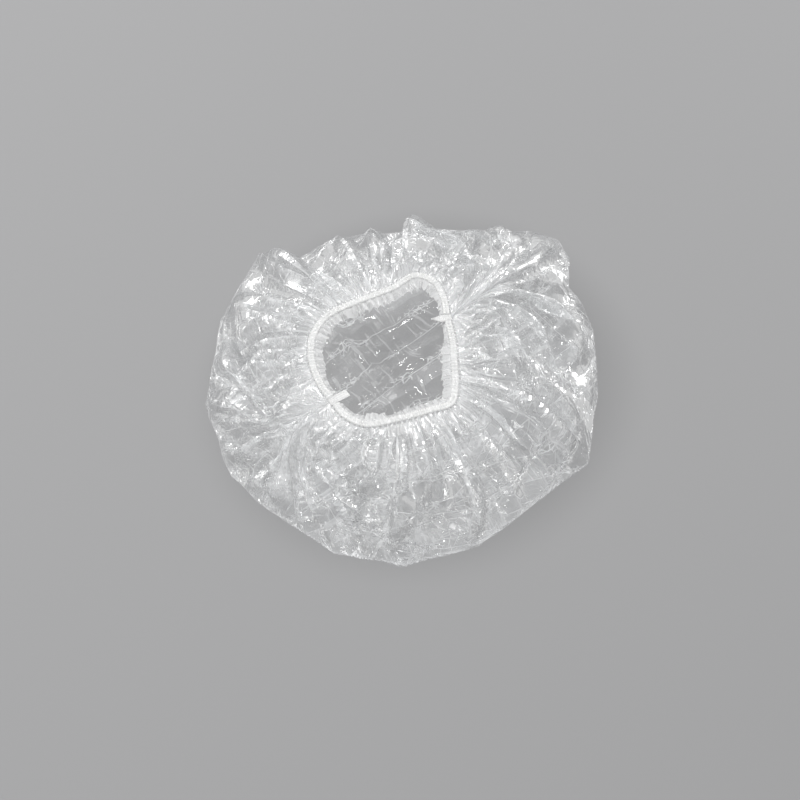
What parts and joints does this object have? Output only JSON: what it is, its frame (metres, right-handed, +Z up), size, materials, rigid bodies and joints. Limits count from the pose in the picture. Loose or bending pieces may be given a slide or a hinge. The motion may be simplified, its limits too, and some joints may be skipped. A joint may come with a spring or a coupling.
{
  "type": "shower cap",
  "caption": "Clear film shower cap lying open, mouth up: a folded film bag gathered on an elastic mouth with a ruffled frill and crimped end tabs.",
  "frame": {"origin": "middle of the part's box at the table", "axes": "+Z up out of the mouth, +X along the pleats from the left end seal to the right end seal, -Y the front half of the mouth"},
  "size_m": [0.322, 0.292, 0.052],
  "materials": {
    "clear_film": "clear glossy polyethylene film, creased",
    "hem_film": "clear film folded over the elastic and puckered",
    "frill_film": "ruffled film edge, milky where it is dense",
    "sealed_film": "stacked film, heat-sealed and crimped, milky white",
    "white_elastic": "white rubber strand, matt"
  },
  "bodies": {
    "bag": {"crown_film": "clear_film", "back_hem": "hem_film", "back_inner_strand": "white_elastic", "back_outer_strand": "white_elastic", "back_frill": "frill_film"},
    "mouth_front": {"front_hem": "hem_film", "front_inner_strand": "white_elastic", "front_outer_strand": "white_elastic", "front_frill": "frill_film"},
    "end_seals": {"left_end_seal": "sealed_film", "right_end_seal": "sealed_film"}
  },
  "joints": [
    {"name": "mouth_stretch", "type": "slide", "parent": "bag", "child": "mouth_front", "axis": [0, -1, 0], "range_m": [0, 0.1], "stiffness_N_per_m": 40, "deforming": ["crown_film"]},
    {"name": "seal_follow", "type": "slide", "parent": "bag", "child": "end_seals", "axis": [0, -1, 0], "range_m": [0, 0.05], "deforming": ["crown_film"]}
  ],
  "couplings": [
    {"joint": "seal_follow", "follows": "mouth_stretch", "ratio": 0.5}
  ]
}
